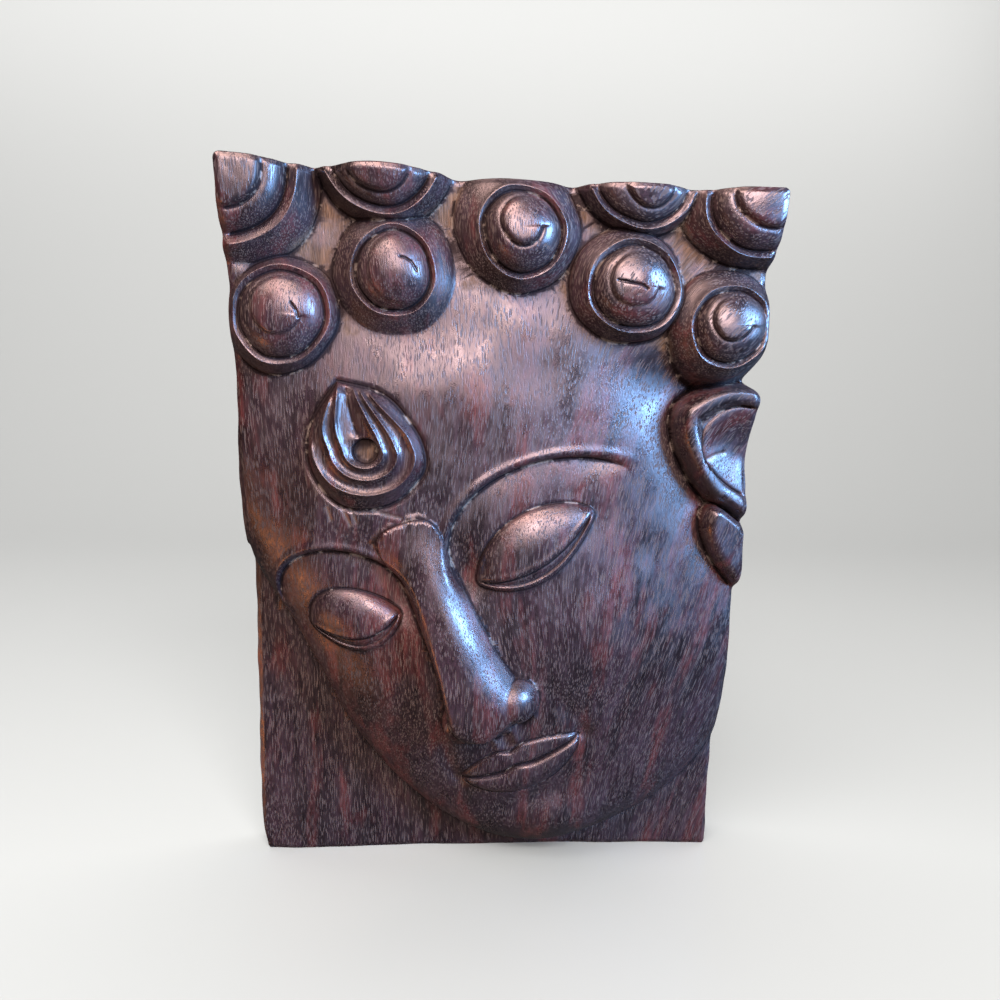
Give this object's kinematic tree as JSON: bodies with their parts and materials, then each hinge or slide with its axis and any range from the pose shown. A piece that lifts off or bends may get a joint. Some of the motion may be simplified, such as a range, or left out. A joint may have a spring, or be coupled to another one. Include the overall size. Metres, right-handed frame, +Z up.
{
  "type": "carved wall plaque",
  "caption": "Upright wooden wall plaque with a flat back: a leaning, calm head in high relief, snail-shell curls cut off by the top edge, a forehead ornament and an ear at the right edge.",
  "frame": {"origin": "middle of the flat back, where it lies on the wall", "axes": "+Z up the plaque, +Y out of the back into the wall, so the carving faces -Y; +X to the viewer's right"},
  "size_m": [0.2159, 0.065, 0.3011],
  "materials": {
    "wood": "dark, waxed, satin, with pale dust in the cuts"
  },
  "bodies": {
    "root": {"carved_board": "wood"}
  },
  "joints": []
}
